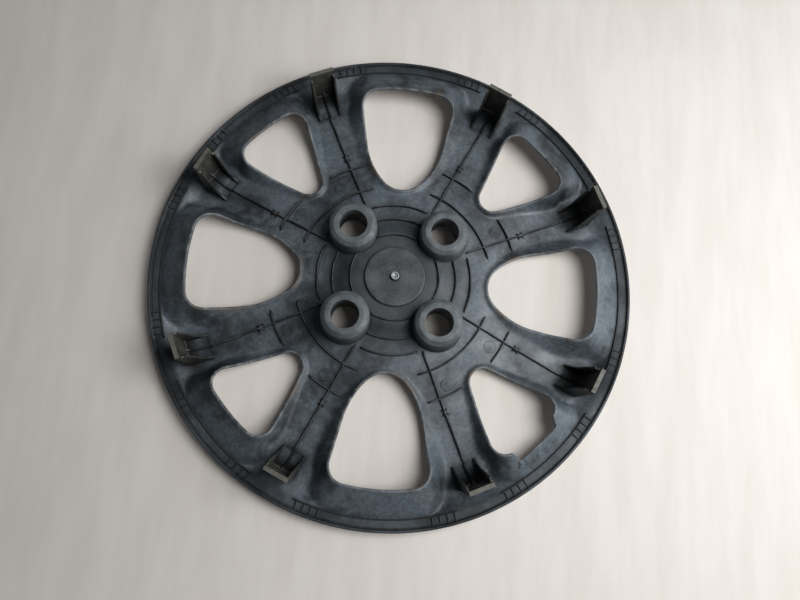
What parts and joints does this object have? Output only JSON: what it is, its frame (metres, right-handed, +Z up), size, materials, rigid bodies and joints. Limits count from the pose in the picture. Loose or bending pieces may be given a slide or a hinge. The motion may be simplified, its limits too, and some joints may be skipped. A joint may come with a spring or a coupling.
{
  "type": "wheel cover",
  "caption": "Round moulded wheel cover lying face down, with a ribbed back, lug sleeves, spoke windows and spring retaining clips.",
  "frame": {"origin": "centre of the circle that the cover's front face rests on, on the resting plane", "axes": "+Z up out of the cover's back, along the wheel axis; +X through the middle of a large window"},
  "size_m": [0.3809, 0.381, 0.0465],
  "materials": {
    "cover_plastic": "matte dark blue-grey moulded plastic with silver overspray",
    "clip_plastic": "matte brown-grey moulded plastic, worn lighter at the lips",
    "disc_plastic": "smooth dark moulded plastic",
    "sleeve_plastic": "matte lighter grey moulded plastic"
  },
  "bodies": {
    "cover": {"cover_shell": "cover_plastic", "centre_disc": "disc_plastic", "sprue_stub": "disc_plastic", "lug_sleeve_1": "sleeve_plastic", "lug_sleeve_2": "sleeve_plastic", "lug_sleeve_3": "sleeve_plastic", "lug_sleeve_4": "sleeve_plastic", "spoke_rib_1": "cover_plastic", "spoke_rib_2": "cover_plastic", "spoke_rib_3": "cover_plastic", "spoke_rib_4": "cover_plastic", "spoke_rib_5": "cover_plastic", "spoke_rib_6": "cover_plastic", "spoke_rib_7": "cover_plastic", "spoke_rib_8": "cover_plastic", "arc_rib_1": "cover_plastic", "arc_rib_2": "cover_plastic", "arc_rib_3": "cover_plastic", "arc_rib_4": "cover_plastic", "hub_ring_rib_inner": "cover_plastic", "hub_ring_rib_middle": "cover_plastic", "hub_ring_rib_outer": "cover_plastic", "ejector_pads": "cover_plastic", "rim_rib_1": "cover_plastic", "rim_rib_2": "cover_plastic", "rim_rib_3": "cover_plastic", "rim_rib_4": "cover_plastic", "rim_rib_5": "cover_plastic", "rim_rib_6": "cover_plastic", "rim_rib_7": "cover_plastic", "rim_rib_8": "cover_plastic"},
    "clip_1": {"retaining_clip_1": "clip_plastic"},
    "clip_2": {"retaining_clip_2": "clip_plastic"},
    "clip_3": {"retaining_clip_3": "clip_plastic"},
    "clip_4": {"retaining_clip_4": "clip_plastic"},
    "clip_5": {"retaining_clip_5": "clip_plastic"},
    "clip_6": {"retaining_clip_6": "clip_plastic"},
    "clip_7": {"retaining_clip_7": "clip_plastic"},
    "clip_8": {"retaining_clip_8": "clip_plastic"}
  },
  "joints": [
    {"name": "clip_flex_1", "type": "hinge", "parent": "cover", "child": "clip_1", "pos_m": [0.15208, 0.07092, 0.0027], "axis": [0.4226, -0.9063, 0], "range_deg": [0, 3], "stiffness_Nm_per_rad": 8},
    {"name": "clip_flex_2", "type": "hinge", "parent": "cover", "child": "clip_2", "pos_m": [0.07092, 0.15208, 0.0027], "axis": [0.9063, -0.4226, 0], "range_deg": [0, 3], "stiffness_Nm_per_rad": 8},
    {"name": "clip_flex_3", "type": "hinge", "parent": "cover", "child": "clip_3", "pos_m": [-0.07092, 0.15208, 0.0027], "axis": [0.9063, 0.4226, 0], "range_deg": [0, 3], "stiffness_Nm_per_rad": 8},
    {"name": "clip_flex_4", "type": "hinge", "parent": "cover", "child": "clip_4", "pos_m": [-0.15208, 0.07092, 0.0027], "axis": [0.4226, 0.9063, 0], "range_deg": [0, 3], "stiffness_Nm_per_rad": 8},
    {"name": "clip_flex_5", "type": "hinge", "parent": "cover", "child": "clip_5", "pos_m": [-0.15208, -0.07092, 0.0027], "axis": [-0.4226, 0.9063, 0], "range_deg": [0, 3], "stiffness_Nm_per_rad": 8},
    {"name": "clip_flex_6", "type": "hinge", "parent": "cover", "child": "clip_6", "pos_m": [-0.07092, -0.15208, 0.0027], "axis": [-0.9063, 0.4226, 0], "range_deg": [0, 3], "stiffness_Nm_per_rad": 8},
    {"name": "clip_flex_7", "type": "hinge", "parent": "cover", "child": "clip_7", "pos_m": [0.07092, -0.15208, 0.0027], "axis": [-0.9063, -0.4226, 0], "range_deg": [0, 3], "stiffness_Nm_per_rad": 8},
    {"name": "clip_flex_8", "type": "hinge", "parent": "cover", "child": "clip_8", "pos_m": [0.15208, -0.07092, 0.0027], "axis": [-0.4226, -0.9063, 0], "range_deg": [0, 3], "stiffness_Nm_per_rad": 8}
  ]
}
